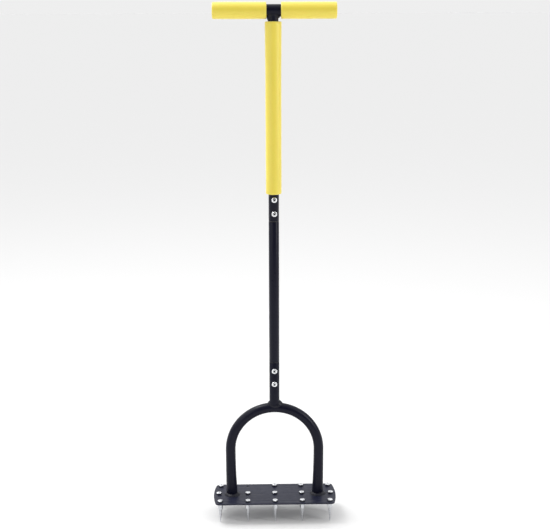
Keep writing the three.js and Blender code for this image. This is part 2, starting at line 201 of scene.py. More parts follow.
def joined(*shapes):
    points, faces = [], []
    for shape_points, shape_faces in shapes:
        start = len(points)
        points += shape_points
        faces += [tuple(start + i for i in face) for face in shape_faces]
    return points, faces


def quarter(steps):
    """Angles from 0 to a right angle."""
    return [math.pi / 2 * i / steps for i in range(steps + 1)]


def mesh_of(name, shape, sharp=35):
    """A mesh with smooth shading, broken at edges steeper than sharp degrees."""
    points, faces = shape
    mesh = bpy.data.meshes.new(name)
    mesh.from_pydata([tuple(p) for p in points], [], faces)
    mesh.update()
    clean(mesh)
    mesh.shade_smooth()
    mesh.set_sharp_from_angle(angle=math.radians(sharp))
    return mesh


def clean(mesh, merge_distance=0):
    """Turns every face outwards, after points closer than the distance are merged."""
    bm = bmesh.new()
    bm.from_mesh(mesh)
    if merge_distance:
        bmesh.ops.remove_doubles(bm, verts=bm.verts, dist=merge_distance)
    bmesh.ops.recalc_face_normals(bm, faces=bm.faces)
    bm.to_mesh(mesh)
    bm.free()


def new_object(name, data):
    obj = bpy.data.objects.new(name, data)
    bpy.context.scene.collection.objects.link(obj)
    return obj


def result_of(obj):
    """The mesh that an object's curve or modifiers come to."""
    bpy.context.view_layer.update()
    depsgraph = bpy.context.evaluated_depsgraph_get()
    return bpy.data.meshes.new_from_object(obj.evaluated_get(depsgraph))


def mark(mesh, name, values):
    """Gives every point of a mesh a value that the materials can read."""
    marks = mesh.attributes.new(name, "FLOAT", "POINT")
    for point, value in zip(marks.data, values):
        point.value = value


def piece(node, mesh, material):
    """Puts a fine mesh in the place of a CAD node."""
    obj = new_object(node + "_fine", mesh)
    mesh.materials.clear()
    mesh.materials.append(material)
    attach(obj, "root")
    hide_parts(node)
    return obj


ALONG_X = Matrix.Rotation(math.pi / 2, 4, "Y")


# ---- Materials ----


class Nodes:
    """Short names for building a node tree. A value is a number, a colour or another socket."""

    def __init__(self, tree):
        self.tree = tree

    def put(self, socket, value):
        if isinstance(value, (int, float)):
            socket.default_value = value
        elif isinstance(value, tuple):
            socket.default_value = (*value, 1)
        else:
            self.tree.links.new(value, socket)

    def node(self, kind, **inputs):
        node = self.tree.nodes.new(kind)
        for name, value in inputs.items():
            self.put(node.inputs[name.replace("_", " ")], value)
        return node

    def product(self, first, second):
        node = self.node("ShaderNodeMath")
        node.operation = "MULTIPLY"
        self.put(node.inputs[0], first)
        self.put(node.inputs[1], second)
        return node.outputs[0]


class Material(Nodes):
    """A material whose patterns lie in the object's own coordinates."""

    def __init__(self, name):
        self.material = bpy.data.materials.new(name)
        self.material.use_nodes = True
        super().__init__(self.material.node_tree)
        self.shader = self.tree.nodes["Principled BSDF"]
        self.place = self.node("ShaderNodeTexCoord").outputs["Object"]

    def set(self, **values):
        """Gives inputs of the shader a number or a socket each."""
        for name, value in values.items():
            self.put(self.shader.inputs[name.replace("_", " ")], value)

    def noise(self, scale, detail, roughness=0.5, stretch=None):
        place = self.place
        if stretch is not None:
            mapping = self.node("ShaderNodeMapping", Vector=place)
            mapping.inputs["Scale"].default_value = stretch
            place = mapping.outputs["Vector"]
        node = self.node(
            "ShaderNodeTexNoise", Vector=place, Scale=scale, Detail=detail, Roughness=roughness
        )
        return node.outputs["Fac"]

    def cells(self, scale):
        return self.node("ShaderNodeTexVoronoi", Vector=self.place, Scale=scale).outputs["Distance"]

    def ramp(self, source, stops):
        """stops are two (position, grey value) pairs."""
        node = self.node("ShaderNodeValToRGB", Fac=source)
        for element, (position, grey) in zip(node.color_ramp.elements, stops):
            element.position = position
            element.color = (grey, grey, grey, 1)
        return node.outputs["Color"]

    def mix(self, amount, first, second):
        node = self.node("ShaderNodeMix")
        node.data_type = "RGBA"
        for name, value in (("Factor", amount), ("A", first), ("B", second)):
            self.put(next(s for s in node.inputs if s.name == name and s.enabled), value)
        return next(s for s in node.outputs if s.enabled)

    def attribute(self, name):
        node = self.node("ShaderNodeAttribute")
        node.attribute_name = name
        return node.outputs["Fac"]

    def bump(self, *layers):
        """layers are (height socket, depth in metres) pairs, from coarse to fine."""
        below = {}
        for height, depth in layers:
            node = self.node(
                "ShaderNodeBump", Strength=1.0, Distance=depth, Height=height, **below
            )
            below = {"Normal": node.outputs["Normal"]}
        self.set(**below)


def black_paint(name, dark, light, specular):
    """Stoved black enamel on steel: satin gloss, faint orange peel, thin dust, and marked tube rims
    painted light grey, part worn paint and part painted highlight.
    """
    n = Material(name)
    tone = n.noise(60, detail=4)
    dust = n.ramp(n.noise(420, detail=5, roughness=0.65), [(0.56, 0.0), (0.74, 0.16)])
    # Marked rims are painted light grey, broken up by noise: worn paint, and a painted highlight
    # along the seams.
    rim_breakup = n.ramp(n.noise(260, detail=3), [(0.38, 0.1), (0.6, 1.0)])
    rim_wear_and_highlight = n.product(n.attribute("rim_wear_and_highlight"), rim_breakup)
    base = n.mix(dust, n.mix(tone, dark, light), (0.05, 0.05, 0.056))
    n.set(Base_Color=n.mix(rim_wear_and_highlight, base, (0.085, 0.08, 0.075)))
    n.set(Roughness=n.ramp(n.noise(130, detail=4), [(0.3, 0.27), (0.7, 0.4)]))
    n.set(Specular_IOR_Level=specular)
    n.bump((n.noise(650, detail=1), 0.02 * MM), (n.noise(2600, detail=2), 0.006 * MM))
    return n.material


def plate_paint():
    """The same enamel on flat plate, a little flatter, with fine scuffs along its length."""
    n = Material("plate_paint")
    tone = n.noise(45, detail=5)
    scuffs = n.ramp(n.noise(300, detail=4, stretch=(0.15, 1, 1)), [(0.6, 0.0), (0.78, 0.35)])
    base = n.mix(tone, (0.009, 0.0105, 0.025), (0.014, 0.0155, 0.033))
    n.set(Base_Color=n.mix(scuffs, base, (0.075, 0.077, 0.09)))
    n.set(Roughness=n.ramp(n.noise(110, detail=4), [(0.3, 0.34), (0.7, 0.46)]))
    n.set(Specular_IOR_Level=0.25)
    n.bump((n.noise(500, detail=1), 0.02 * MM), (n.noise(2200, detail=2), 0.007 * MM))
    return n.material


def yellow_foam():
    """Closed-cell foam rubber: matte, finely grained, with small open cells."""
    n = Material("yellow_foam")
    cloud = n.noise(28, detail=4)
    grain = n.noise(1500, detail=3)
    pores = n.ramp(n.cells(900), [(0.05, 0.0), (0.3, 1.0)])
    base = n.mix(cloud, (0.745, 0.6, 0.045), (0.805, 0.655, 0.06))
    grained = n.mix(n.ramp(grain, [(0.35, 0.0), (0.65, 0.3)]), base, (0.86, 0.72, 0.13))
    in_pore = n.ramp(pores, [(0.0, 0.25), (0.6, 0.0)])
    n.set(Base_Color=n.mix(in_pore, grained, (0.5, 0.34, 0.035)))
    n.set(Roughness=n.ramp(cloud, [(0.3, 0.42), (0.7, 0.5)]))
    n.set(Specular_IOR_Level=0.75, Sheen_Weight=0.7, Sheen_Roughness=0.35)
    n.set(Subsurface_Weight=0.06, Subsurface_Scale=0.002)
    n.bump((n.noise(140, detail=2), 0.12 * MM), (pores, 0.05 * MM), (grain, 0.04 * MM))
    return n.material


def zinc():
    """Bright zinc plate on steel, slightly clouded, darkened as painted shade where a mesh is
    marked.
    """
    n = Material("zinc")
    cloud = n.noise(350, detail=5, roughness=0.6)
    # Painted shade: marked points turn near-black and rougher, standing in for the shade down in
    # recesses and at the nuts' feet.
    painted_shade = n.ramp(n.attribute("painted_shade"), [(0.3, 0.0), (0.7, 1.0)])
    base = n.mix(cloud, (0.74, 0.76, 0.79), (0.88, 0.89, 0.9))
    polish = n.ramp(n.noise(900, detail=4), [(0.3, 0.1), (0.7, 0.2)])
    n.set(Base_Color=n.mix(painted_shade, base, (0.07, 0.07, 0.08)))
    n.set(Roughness=n.mix(painted_shade, polish, (0.5, 0.5, 0.5)))
    n.set(Metallic=1.0)
    n.bump((n.noise(3200, detail=2), 0.006 * MM))
    return n.material


def turned_steel():
    """Spikes: zinc plate over lathe marks, which run round each spike."""
    n = Material("turned_steel")
    cloud = n.noise(260, detail=5, roughness=0.6)
    marks = n.noise(2200, detail=2, stretch=(0.02, 0.02, 1))
    n.set(Base_Color=n.mix(cloud, (0.48, 0.49, 0.52), (0.7, 0.71, 0.73)))
    n.set(Roughness=n.ramp(marks, [(0.3, 0.22), (0.7, 0.42)]))
    n.set(Metallic=1.0)
    n.bump((marks, 0.012 * MM))
    return n.material


def plug_plastic():
    """Moulded black polyethylene with a fine sparked grain."""
    n = Material("plug_plastic")
    tone = n.noise(300, detail=3)
    n.set(Base_Color=n.mix(tone, (0.008, 0.008, 0.009), (0.016, 0.016, 0.018)))
    n.set(Roughness=n.ramp(n.noise(700, detail=3), [(0.3, 0.42), (0.7, 0.58)]))
    n.bump((n.noise(2500, detail=3), 0.02 * MM))
    return n.material


BLACK = black_paint("black_paint", (0.0026, 0.0029, 0.011), (0.0046, 0.0052, 0.015), 0.17)
WELD = black_paint("weld_paint", (0.0035, 0.0038, 0.01), (0.007, 0.0075, 0.016), 0.22)
PLATE = plate_paint()
FOAM = yellow_foam()
ZINC = zinc()
SPIKE_STEEL = turned_steel()
PLUG = plug_plastic()


# ---- Tubes ----


def lip(radius, end, inwards):
    """Profile stations of a tube's eased end, from its rim towards the middle of the tube.

    inwards is the direction of the tube's middle along it, 1 or -1.
    """
    return [
        (radius - TUBE_LIP, end),
        (radius - TUBE_LIP_MIDDLE, end + inwards * TUBE_LIP_MIDDLE),
        (radius, end + inwards * TUBE_LIP),
    ]


def lipped(radius, bottom, top):
    """Outside profile stations of a tube with eased ends."""
    return [*lip(radius, bottom, 1), *reversed(lip(radius, top, -1))]


def tube(node, profile, *ends):
    """A painted tube about Z, its end rims painted lighter: worn paint and a painted highlight."""
    mesh = mesh_of(node, turned(profile, loop=True))
    near = (min(abs(vertex.co.z - end) for end in ends) for vertex in mesh.vertices)
    # Points at the end rims are marked for the lighter paint, part of it a painted highlight.
    mark(mesh, "rim_wear_and_highlight", [1.0 if distance < TUBE_LIP / 2 else 0.0 for distance in near])
    piece(node, mesh, BLACK)


def crossbar_side(x, y):
    """Height of the crossbar's underside over a point."""
    return CROSSBAR_AXIS - math.sqrt(CROSSBAR_RADIUS**2 - min(y**2, TUBE_RADIUS**2))


def stem_foot(x, y):
    """Height of the stem's seam on the arch, which lies under the weld."""
    return YOKE_CROWN + saddle_height(TUBE_RADIUS, math.atan2(y, x))


def tubes():
    bottom, top = low("crossbar_tube").x, high("crossbar_tube").x
    outside = lipped(CROSSBAR_RADIUS, bottom, top)
    crossbar = turned([(CROSSBAR_BORE, bottom), *outside, (CROSSBAR_BORE, top)], loop=True)
    place = Matrix.Translation((0, 0, CROSSBAR_AXIS)) @ ALONG_X
    mesh = mesh_of("crossbar_tube", moved(crossbar, place))
    piece("crossbar_tube", mesh, BLACK)

    foot = UPPER_SEAM + GAP
    handle = [
        (TUBE_BORE, foot),
        *lip(TUBE_RADIUS, foot, 1),
        (TUBE_RADIUS, crossbar_side),
        (TUBE_BORE, crossbar_side),
    ]
    tube("handle_tube", handle, foot)

    bottom, top = low("middle_tube").z, high("middle_tube").z
    middle_part = [
        (NECK_BORE, bottom),
        (NECK_RADIUS, bottom),
        (NECK_RADIUS, LOWER_SEAM),
        *lipped(TUBE_RADIUS, LOWER_SEAM, UPPER_SEAM),
        (NECK_RADIUS, UPPER_SEAM),
        (NECK_RADIUS, top),
        (NECK_BORE, top),
        (NECK_BORE, UPPER_SEAM - TUBE_WALL),
        (TUBE_BORE, UPPER_SEAM - 2 * TUBE_WALL),
        (TUBE_BORE, LOWER_SEAM + 2 * TUBE_WALL),
        (NECK_BORE, LOWER_SEAM + TUBE_WALL),
    ]
    tube("middle_tube", middle_part, LOWER_SEAM, UPPER_SEAM)

    top = LOWER_SEAM - GAP
    stem = [
        (TUBE_BORE, stem_foot),
        (TUBE_RADIUS, stem_foot),
        *reversed(lip(TUBE_RADIUS, top, -1)),
        (TUBE_BORE, top),
    ]
    tube("yoke_stem", stem, top)


def yoke_path():
    """Centre points of the yoke, each with how far down its leg it is: 0 on the arch to 1."""
    drops = [i / LEG_STEPS for i in range(1, LEG_STEPS + 1)]
    stations = [(leg_axis(-1, drop), drop) for drop in reversed(drops)]
    for i in range(ARCH_STEPS + 1):
        angle = math.pi * (1 - i / ARCH_STEPS)
        x, z = YOKE_RADIUS * math.cos(angle), YOKE_SPRING + YOKE_RADIUS * math.sin(angle)
        stations.append((Vector((x, 0, z)), 0.0))
    return stations + [(leg_axis(1, drop), drop) for drop in drops]


def leg_axis(side, drop):
    x = side * (YOKE_RADIUS - LEG_LEAN * drop**2)
    return Vector((x, 0, YOKE_SPRING - drop * (YOKE_SPRING - YOKE_FOOT)))


def yoke_ring(centre, drop, radius):
    """A ring square to the path. On the arch the path's direction follows from the centre."""
    if drop > 0:
        across, wide = Vector((1 if centre.x < 0 else -1, 0, 0)), 1 + LEG_FLARE * drop**2
    else:
        across, wide = (Vector((0, 0, YOKE_SPRING)) - centre).normalized(), 1.0
    ring = []
    for i in range(YOKE_SIDES):
        angle = 2 * math.pi * i / YOKE_SIDES
        sideways = across * (radius * wide * math.cos(angle))
        ring.append(centre + sideways + Vector((0, radius * math.sin(angle), 0)))
    return ring


def yoke_tube():
    stations = yoke_path()
    outside = [yoke_ring(centre, drop, TUBE_RADIUS) for centre, drop in stations]
    inside = [yoke_ring(centre, drop, TUBE_BORE) for centre, drop in reversed(stations)]
    mesh = mesh_of("yoke_tube", skin(outside + inside, loop=True))
    piece("yoke_tube", mesh, BLACK)


# ---- Welds ----

# How much of the saddle's depth the middle of a bead follows, and how much longer than the
# tube's circumference its seam is
SADDLE_FILL = 0.75
SADDLE_STRETCH = 1.2
RIPPLE_PITCH = 2.1 * MM
RIPPLE_STEPS = 8
BEAD_STEPS = 12
BEAD_FULLNESS = 0.8
WELD_SINK = 0.25 * MM
WELD_ROOT = 1.6 * MM
# Shares of a bead's reach that its ripples and chance change, and of its bulge that chance changes
EDGE_SCALLOP = 0.06
EDGE_LUMPS = 0.09
CAP_LUMPS = 0.25
SWELL_POWER = 1.5


def saddle_height(bar_radius, angle):
    """Distance from a level tube's axis to the middle of the bead round a pole that meets it."""
    return math.sqrt(bar_radius**2 - SADDLE_FILL * (TUBE_RADIUS * math.sin(angle)) ** 2)


def weld(name, seam, onto_post, onto_base, legs, cap, ripple_depth, seed):
    """A fillet of weld metal laid in overlapping ripples round a post.

    seam(angle) gives a point, the direction along the post, the direction along the base and the
    outward normal. legs are two functions of the angle: how far the bead reaches along the post
    and along the base. cap is how far the bead bulges, and ripple_depth the share of it lost
    between ripples.
    """
    rng = random.Random(seed)
    ripples = round(2 * math.pi * TUBE_RADIUS * SADDLE_STRETCH / RIPPLE_PITCH)
    lumps = [[rng.uniform(-1, 1) for _ in range(3)] for _ in range(ripples)]
    rings = []
    for i in range(ripples * RIPPLE_STEPS):
        angle = 2 * math.pi * i / (ripples * RIPPLE_STEPS)
        ripple, within = divmod(i / RIPPLE_STEPS, 1)
        here, after = lumps[int(ripple)], lumps[(int(ripple) + 1) % ripples]
        lump = [a * (1 - within) + b * within for a, b in zip(here, after)]
        scale = 1 - ripple_depth * within**3
        point, along_post, along_base, normal = seam(angle)
        reach_post, reach_base = (leg(angle) for leg in legs)
        edge = 1 - EDGE_SCALLOP + EDGE_SCALLOP * scale
        top = onto_post(point + along_post * reach_post * edge * (1 + EDGE_LUMPS * lump[0]))
        toe = onto_base(point + along_base * reach_base * edge * (1 + EDGE_LUMPS * lump[1]))
        ring = []
        for j in range(BEAD_STEPS + 1):
            t = j / BEAD_STEPS
            rise = math.sin(math.pi * t) ** BEAD_FULLNESS
            bulge = rise * cap * scale * (1 + CAP_LUMPS * lump[2])
            ring.append(top.lerp(toe, t) + normal * bulge)
        ring.append(point - normal * WELD_ROOT)
        rings.append(ring)
    piece(name, mesh_of(name, skin(rings, loop=True), sharp=70), WELD)


def onto_pole(p):
    flat = Vector((p.x, p.y, 0)).normalized() * (TUBE_RADIUS - WELD_SINK)
    return flat + Vector((0, 0, p.z))


def onto_crossbar(p):
    axis = Vector((p.x, 0, CROSSBAR_AXIS))
    return axis + (p - axis).normalized() * (CROSSBAR_RADIUS - WELD_SINK)


def onto_arch(p):
    centre = Vector((0, 0, YOKE_SPRING))
    axis = centre + Vector((p.x, 0, p.z - YOKE_SPRING)).normalized() * YOKE_RADIUS
    return axis + (p - axis).normalized() * (TUBE_RADIUS - WELD_SINK)


def onto_plate(p):
    return Vector((p.x, p.y, PLATE_TOP - WELD_SINK))


def saddle_seam(bar_axis, bar_radius, side):
    """The seam of the pole on a level tube. side is 1 above the tube and -1 below it."""

    def seam(angle):
        height = side * saddle_height(bar_radius, angle)
        post_normal = Vector((math.cos(angle), math.sin(angle), 0))
        point = post_normal * TUBE_RADIUS + Vector((0, 0, bar_axis + height))
        base_normal = Vector((0, point.y, height)).normalized()
        tangent = Vector((-math.sin(angle), math.cos(angle), 0))
        along_post = Vector((0, 0, side))
        along_base = tangent.cross(base_normal).normalized()
        if along_base.dot(post_normal - along_post) < 0:
            along_base.negate()
        return point, along_post, along_base, (post_normal + base_normal).normalized()

    return seam


def foot_seam(centre):
    """The seam of a flared leg on the plate, at a centre along X."""

    def seam(angle):
        wide = 1 + LEG_FLARE
        x, y = TUBE_RADIUS * wide * math.cos(angle), TUBE_RADIUS * math.sin(angle)
        outward = Vector((math.cos(angle) / wide, math.sin(angle), 0)).normalized()
        up = Vector((0, 0, 1))
        return Vector((centre + x, y, PLATE_TOP)), up, outward, (outward + up).normalized()

    return seam


def onto_leg(centre):
    wide = 1 + LEG_FLARE

    def onto(p):
        flat = Vector(((p.x - centre) / wide, p.y, 0)).normalized() * (TUBE_RADIUS - WELD_SINK)
        return Vector((centre + flat.x * wide, flat.y, p.z))

    return onto


def swollen(front, left, right):
    """A length in mm that goes from one value at the front and back to others at the sides."""

    def at(angle):
        side = right if math.cos(angle) > 0 else left
        share = abs(math.cos(angle)) ** SWELL_POWER
        return (front + (side - front) * share) * MM

    return at


def welds():
    under_crossbar = saddle_seam(CROSSBAR_AXIS, CROSSBAR_RADIUS, -1)
    legs = swollen(2.6, 7.4, 3.8), swollen(2.2, 2.5, 3.0)
    weld("handle_weld", under_crossbar, onto_pole, onto_crossbar, legs, 0.7 * MM, 0.4, seed=3)
    on_arch = saddle_seam(YOKE_CROWN, TUBE_RADIUS, 1)
    legs = swollen(3.4, 5.0, 5.6), swollen(3.4, 4.2, 7.4)
    weld("yoke_weld", on_arch, onto_pole, onto_arch, legs, 0.9 * MM, 0.25, seed=5)
    legs = swollen(4.4, 5.4, 5.0), swollen(5.8, 4.4, 6.2)
    for name, side, seed in (("left_foot_weld", -1, 7), ("right_foot_weld", 1, 11)):
        x = side * (YOKE_RADIUS - LEG_LEAN)
        weld(name, foot_seam(x), onto_leg(x), onto_plate, legs, 0.5 * MM, 0.2, seed)


# ---- Foam grips ----

FOAM_EDGE = 2 * MM
FOAM_EDGE_STEPS = 6
FOAM_ROW = 2.5 * MM
FOAM_CLEARANCE = 0.05 * MM
FOAM_SKIN_DEPTH = 1 * MM
# Waves of the foam's skin: how many to a metre, and how deep in mm
FOAM_WAVES = ((22, 0.25), (90, 0.08))
STEM_FLARE = 0.7 * MM
FLARE_LENGTH = 60 * MM


def foam_grip(node, radius, tube_radius, bottom, top, place, flare=0.0):
    """A foam sleeve with soft ends, a hair out of true all over.

    flare is how much fuller it is at its upper end, where it was pushed on.
    """
    rows = round((top - bottom) / FOAM_ROW)
    straight = top - bottom - 2 * FOAM_EDGE
    ease = [
        (FOAM_EDGE * (1 - math.sin(t)), FOAM_EDGE * (1 - math.cos(t)))
        for t in quarter(FOAM_EDGE_STEPS)
    ]
    profile = [(radius - inwards, bottom + along) for inwards, along in ease]
    profile += [(radius, bottom + FOAM_EDGE + straight * i / rows) for i in range(1, rows)]
    profile += [(radius - inwards, top - along) for inwards, along in reversed(ease)]
    profile = [(r + flare * math.exp(-(((top - z) / FLARE_LENGTH) ** 2)), z) for r, z in profile]
    bore = tube_radius + FOAM_CLEARANCE
    points, faces = moved(turned([(bore, bottom), *profile, (bore, top)], loop=True), place)
    points = [foam_dent(p, place) for p in points]
    obj = piece(node, mesh_of(node, (points, faces), sharp=60), FOAM)


def foam_dent(point, place):
    """Moves a point of the skin in or out a little. The bore stays where it is."""
    along = (place.to_3x3() @ Vector((0, 0, 1))).normalized()
    from_start = point - place.translation
    outward = from_start - along * from_start.dot(along)
    if outward.length < CROSSBAR_RADIUS + FOAM_SKIN_DEPTH:
        return point
    wave = sum(noise.noise(point * count) * depth for count, depth in FOAM_WAVES)
    return point + outward.normalized() * (wave * MM)


def grips():
    flat = Matrix.Translation((0, 0, CROSSBAR_AXIS)) @ ALONG_X
    for node in ("left_grip", "right_grip"):
        foam_grip(node, size(node).z / 2, CROSSBAR_RADIUS, low(node).x, high(node).x, flat)
    node, upright = "stem_grip", Matrix.Identity(4)
    bottom, top = low(node).z, high(node).z
    foam_grip(node, size(node).x / 2, TUBE_RADIUS, bottom, top, upright, STEM_FLARE)


# ---- End plugs ----

PLUG_FLANGE = 1.6 * MM
PLUG_SPIGOT_EASE = 1 * MM
# The flange from its underside to the middle of its dished face, in mm: in from the crossbar's
# radius, and below the face
PLUG_FACE = ((0.2, 1.6), (0, 1.4), (0, 0.7), (0.3, 0.25), (1, 0), (4, 0), (4.4, 0.3))
PLUG_CENTRE = (2 * MM, -0.45 * MM)


def end_plugs():
    spigot = CROSSBAR_BORE - GAP
    for node, side in (("left_plug", -1), ("right_plug", 1)):
        foot = -size(node).x
        profile = [
            (spigot - PLUG_SPIGOT_EASE, foot),
            (spigot, foot + PLUG_SPIGOT_EASE),
            (spigot, -PLUG_FLANGE),
            *((CROSSBAR_RADIUS - inwards * MM, -below * MM) for inwards, below in PLUG_FACE),
            PLUG_CENTRE,
        ]
        face = high(node).x if side > 0 else low(node).x
        facing = Matrix.Rotation(side * math.pi / 2, 4, "Y")
        place = Matrix.Translation((face, 0, CROSSBAR_AXIS)) @ facing
        piece(node, mesh_of(node, moved(turned(profile), place)), PLUG)


# ---- Foot plate ----


def arc(centre, radius, start, end, steps):
    points = []
    for i in range(steps + 1):
        angle = start + (end - start) * i / steps
        x, y = centre[0] + radius * math.cos(angle), centre[1] + radius * math.sin(angle)
        points.append(Vector((x, y, 0)))
    return points


def plate_outline():
    bow_centre = PLATE_HALF_LENGTH - END_BOW_RADIUS
    corner_y = PLATE_HALF_DEPTH - CORNER_RADIUS
    angle = math.asin(corner_y / (END_BOW_RADIUS - CORNER_RADIUS))
    corner_x = bow_centre + (END_BOW_RADIUS - CORNER_RADIUS) * math.cos(angle)
    corner = arc((corner_x, corner_y), CORNER_RADIUS, angle, math.pi / 2, CORNER_STEPS)
    half = arc((bow_centre, 0), END_BOW_RADIUS, -angle, angle, END_BOW_STEPS)[:-1] + corner
    other = [Vector((-p.x, -p.y, 0)) for p in half]
    corner_below = [Vector((p.x, -p.y, 0)) for p in reversed(corner)]
    corner_above = [Vector((-p.x, p.y, 0)) for p in reversed(corner)]
    return half + corner_above[:-1] + other + corner_below[:-1]


def poly_spline(curve, points):
    spline = curve.splines.new("POLY")
    spline.points.add(len(points) - 1)
    for target, p in zip(spline.points, points):
        target.co = (p.x, p.y, 0, 1)
    spline.use_cyclic_u = True


def foot_plate():
    curve = bpy.data.curves.new("foot_plate_curve", "CURVE")
    curve.dimensions = "2D"
    curve.fill_mode = "BOTH"
    curve.bevel_depth = PLATE_EDGE_ROUND
    curve.bevel_resolution = 2
    curve.extrude = (PLATE_TOP - PLATE_UNDER) / 2 - PLATE_EDGE_ROUND
    curve.offset = -PLATE_EDGE_ROUND
    poly_spline(curve, plate_outline())
    for centre in [(middle(n).x, middle(n).y) for n in SPIKES] + [EMPTY_HOLE]:
        poly_spline(curve, arc(centre, HOLE_RADIUS, 0, 2 * math.pi, HOLE_STEPS)[:-1])
    shell = new_object("foot_plate_curve", curve)
    mesh = result_of(shell)
    bpy.data.objects.remove(shell)
    mesh.transform(Matrix.Translation((0, 0, (PLATE_TOP + PLATE_UNDER) / 2)))
    clean(mesh, merge_distance=PLATE_MERGE_DISTANCE)
    for face in mesh.polygons:
        face.use_smooth = abs(face.normal.z) < LEVEL_NORMAL_Z
    mesh.set_sharp_from_angle(angle=PLATE_SHARP_ANGLE)
    piece("foot_plate", mesh, PLATE)


# ---- Fasteners ----


def hex_ring(height, up):
    """The outside of a nut's chamfered face. up is 1 for the top face and -1 for the one below."""
    ring = []
    for i in range(HEX_SIDES):
        angle = 2 * math.pi * i / HEX_SIDES
        sector = (angle + math.pi / 6) % (math.pi / 3) - math.pi / 6
        radius = HEX_FLATS / 2 / math.cos(sector)
        z = height - up * max(0, radius - HEX_FACE) * math.tan(HEX_CHAMFER)
        ring.append(Vector((radius * math.cos(angle), radius * math.sin(angle), z)))
    return ring


def hex_body(bottom, top, bore):
    """A hex nut or collar with both faces chamfered."""
    rings = [
        circle(bore, bottom + HEX_BORE_EASE, HEX_SIDES),
        circle(bore + HEX_BORE_EASE, bottom, HEX_SIDES),
        circle(HEX_FACE, bottom, HEX_SIDES),
        hex_ring(bottom, -1),
        hex_ring(top, 1),
        circle(HEX_FACE, top, HEX_SIDES),
        circle(bore + HEX_BORE_EASE, top, HEX_SIDES),
        circle(bore, top - HEX_BORE_EASE, HEX_SIDES),
    ]
    return skin(rings, loop=True)


def thread(bottom, top):
    """A threaded rod along Z with tapered ends."""
    rows = round((top - bottom) / THREAD_PITCH * THREAD_ROWS_PER_TURN)
    rings = [circle(THREAD_RADIUS - 2 * THREAD_DEPTH, bottom, THREAD_SIDES)]
    for i in range(1, rows):
        z = bottom + (top - bottom) * i / rows
        taper = min(z - bottom, top - z)
        ring = []
        for j in range(THREAD_SIDES):
            phase = (z / THREAD_PITCH - j / THREAD_SIDES) % 1
            depth = THREAD_DEPTH * (1 - abs(2 * phase - 1)) ** THREAD_FULLNESS
            reach = min(THREAD_RADIUS - depth, THREAD_RADIUS - THREAD_DEPTH + taper)
            angle = 2 * math.pi * j / THREAD_SIDES
            ring.append(Vector((reach * math.cos(angle), reach * math.sin(angle), z)))
        rings.append(ring)
    rings.append(circle(THREAD_RADIUS - 2 * THREAD_DEPTH, top, THREAD_SIDES))
    return skin(rings, capped=True)


HEAD_EDGE = 0.3 * MM
# The screw's head as shares of its height and radius: a straight side, then a dome whose
# shoulder runs in to a flat top, rounded by these powers outwards and upwards
HEAD_SIDE, HEAD_DOME = 0.32, 0.68
HEAD_FLAT, HEAD_SHOULDER = 0.42, 0.58
DOME_OUTWARDS, DOME_UPWARDS = 0.75, 0.9
DOME_STEPS = 8
# The cross recess: half length and half width of one bar above the head and at its floor, and
# the tapered well in the middle as (radius, height over the top of the head)
CUT_CLEARANCE = 0.5 * MM
WING_ABOVE = (RECESS_REACH, 1.05 * MM)
WING_FLOOR = (1.3 * MM, 0.7 * MM)
WING_DEPTH = 2.6 * MM
WELL = ((0.5 * MM, -3.1 * MM), (1.6 * MM, -1.2 * MM), (2.1 * MM, CUT_CLEARANCE))
WELL_SIDES = 24
# A point within RECESS_REACH of the axis and between these heights lies in the recess
RECESS_FROM, RECESS_TO = 0.4 * MM, SCREW_HEAD_HEIGHT - 0.2 * MM


def pan_head():
    """A pan head with its underside at the origin and a tapered cross recess."""
    r, h = SCREW_HEAD_RADIUS, SCREW_HEAD_HEIGHT
    profile = [(r - HEAD_EDGE, 0), (r, HEAD_EDGE), (r, h * HEAD_SIDE)]
    for t in quarter(DOME_STEPS)[1:]:
        out = HEAD_FLAT + HEAD_SHOULDER * math.cos(t) ** DOME_OUTWARDS
        profile.append((r * out, h * (HEAD_SIDE + HEAD_DOME * math.sin(t) ** DOME_UPWARDS)))
    head = object_of("head_blank", turned(profile, SCREW_HEAD_SIDES))
    for turn in (0, math.pi / 2):
        cut(head, object_of("wing", moved(recess_wing(), Matrix.Rotation(turn, 4, "Z"))))
    cut(head, object_of("well", turned([(out, h + over) for out, over in WELL], WELL_SIDES)))
    mesh = head.data
    bpy.data.objects.remove(head)
    return [v.co.copy() for v in mesh.vertices], [tuple(p.vertices) for p in mesh.polygons]


def recess_wing():
    """A wedge that cuts one bar of the cross."""
    corners = [(-1, -1), (1, -1), (1, 1), (-1, 1)]
    rings = []
    for half, height in ((WING_FLOOR, -WING_DEPTH), (WING_ABOVE, CUT_CLEARANCE)):
        z = SCREW_HEAD_HEIGHT + height
        rings.append([Vector((half[0] * x, half[1] * y, z)) for x, y in corners])
    return skin(rings, capped=True)


def object_of(name, shape):
    return new_object(name, mesh_of(name, shape))


def cut(obj, cutter):
    """Takes the cutter out of obj and deletes it."""
    modifier = obj.modifiers.new("cut", "BOOLEAN")
    modifier.object = cutter
    modifier.operation = "DIFFERENCE"
    modifier.solver = "EXACT"
    result = result_of(obj)
    obj.modifiers.clear()
    obj.data = result
    bpy.data.objects.remove(cutter)


def in_recess(p):
    """Whether a point of an upright screw lies down in its cross recess."""
    return math.hypot(p.x, p.y) < RECESS_REACH and RECESS_FROM < p.z < RECESS_TO


def on_pole(height, turn, side, spin):
    """The place of a fastener on the pole's front or back: side is 1 in front and -1 behind."""
    level = Matrix.Translation((0, 0, height)) @ Matrix.Rotation(turn, 4, "Z")
    seat = Matrix.Translation((0, -side * (TUBE_RADIUS + SEAT_GAP), 0))
    facing = Matrix.Rotation(side * math.pi / 2, 4, "X")
    return level @ seat @ facing @ Matrix.Rotation(spin, 4, "Z")


